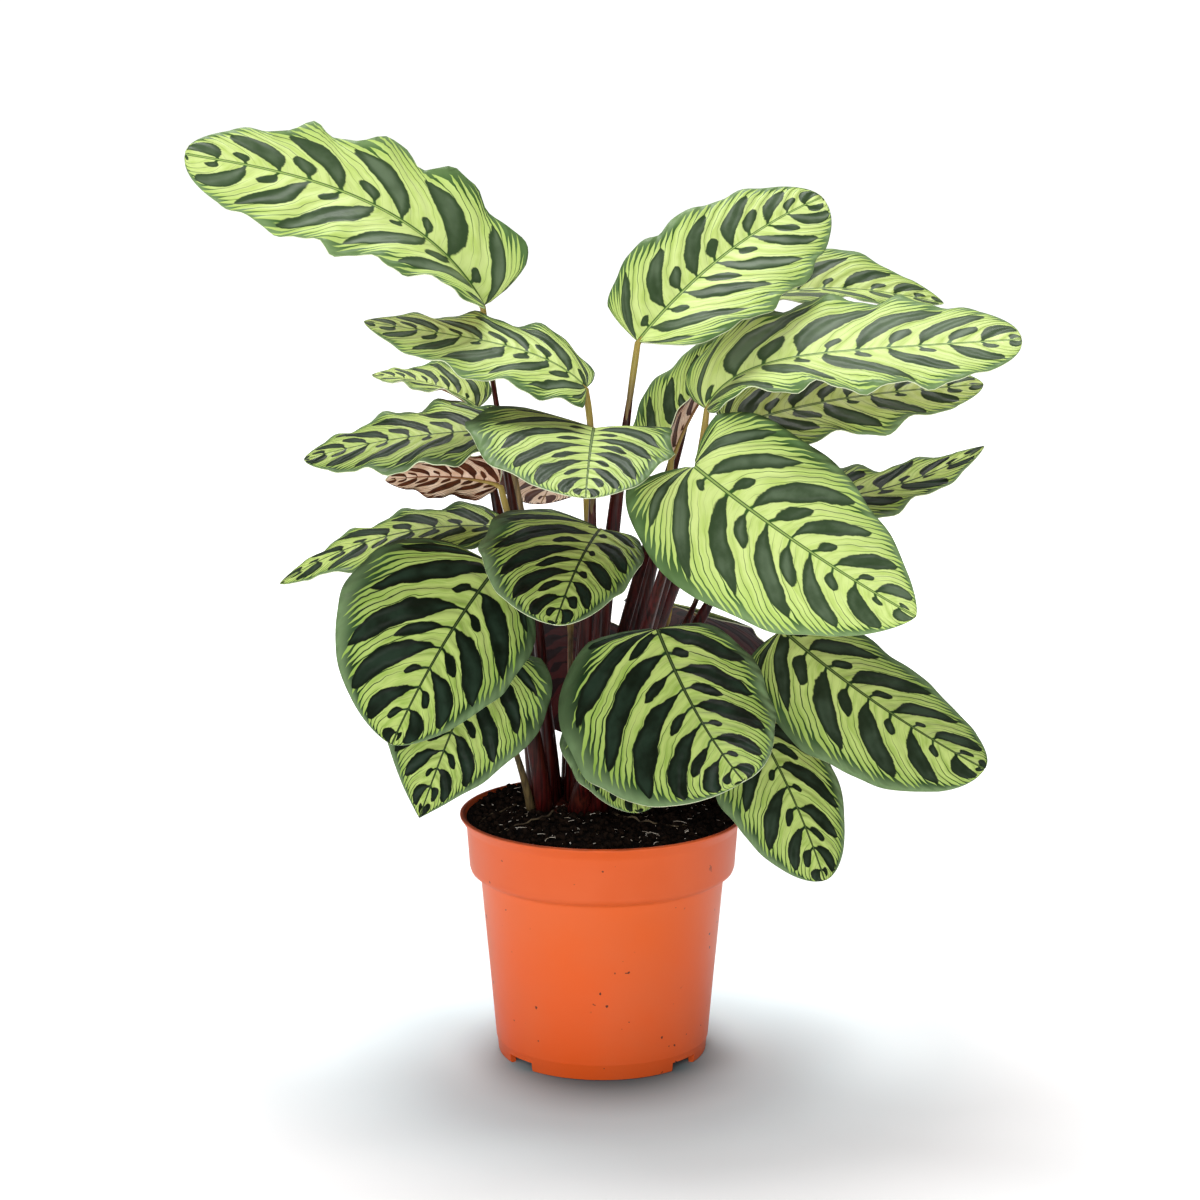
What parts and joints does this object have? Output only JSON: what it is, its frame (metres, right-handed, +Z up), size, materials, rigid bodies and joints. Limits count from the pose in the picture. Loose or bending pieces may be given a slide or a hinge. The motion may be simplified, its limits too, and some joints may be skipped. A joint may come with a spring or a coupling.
{
  "type": "potted calathea",
  "caption": "Bushy calathea with broad peacock-patterned leaves on slender stems, growing from a rhizome in soil in a plain orange nursery pot.",
  "frame": {"origin": "centre of the pot's foot, on the ground, which is also the bottom centre of the bounding box", "axes": "+Z up along the pot's axis; -Y towards the front, the side with the broadest low leaves; +X to the viewer's right"},
  "size_m": [0.397, 0.2619, 0.4517],
  "materials": {
    "pot": "moulded plastic, low sheen",
    "soil": "damp peat with pale fibres",
    "rhizome": "papery brown sheaths",
    "leaf": "satin leaf, dark ovals and stripes on light green",
    "stem": "satin maroon stalk"
  },
  "bodies": {
    "root": {"pot": "pot", "soil": "soil", "rhizome": "rhizome", "leaf_01": "leaf", "leaf_02": "leaf", "leaf_03": "leaf", "leaf_04": "leaf", "leaf_05": "leaf", "leaf_06": "leaf", "leaf_07": "leaf", "leaf_08": "leaf", "leaf_09": "leaf", "leaf_10": "leaf", "leaf_11": "leaf", "leaf_12": "leaf", "leaf_13": "leaf", "leaf_14": "leaf", "leaf_15": "leaf", "leaf_16": "leaf", "leaf_17": "leaf", "leaf_18": "leaf", "leaf_19": "leaf", "leaf_20": "leaf", "leaf_21": "leaf", "leaf_22": "leaf", "leaf_23": "leaf", "leaf_24": "leaf", "leaf_25": "leaf", "leaf_26": "leaf", "stem_01": "stem", "stem_02": "stem", "stem_03": "stem", "stem_04": "stem", "stem_05": "stem", "stem_06": "stem", "stem_07": "stem", "stem_08": "stem", "stem_09": "stem", "stem_10": "stem", "stem_11": "stem", "stem_12": "stem", "stem_13": "stem", "stem_14": "stem", "stem_15": "stem", "stem_16": "stem", "stem_17": "stem", "stem_18": "stem", "stem_19": "stem", "stem_20": "stem", "stem_21": "stem", "stem_22": "stem", "stem_23": "stem", "stem_24": "stem", "stem_25": "stem", "stem_26": "stem"}
  },
  "joints": []
}
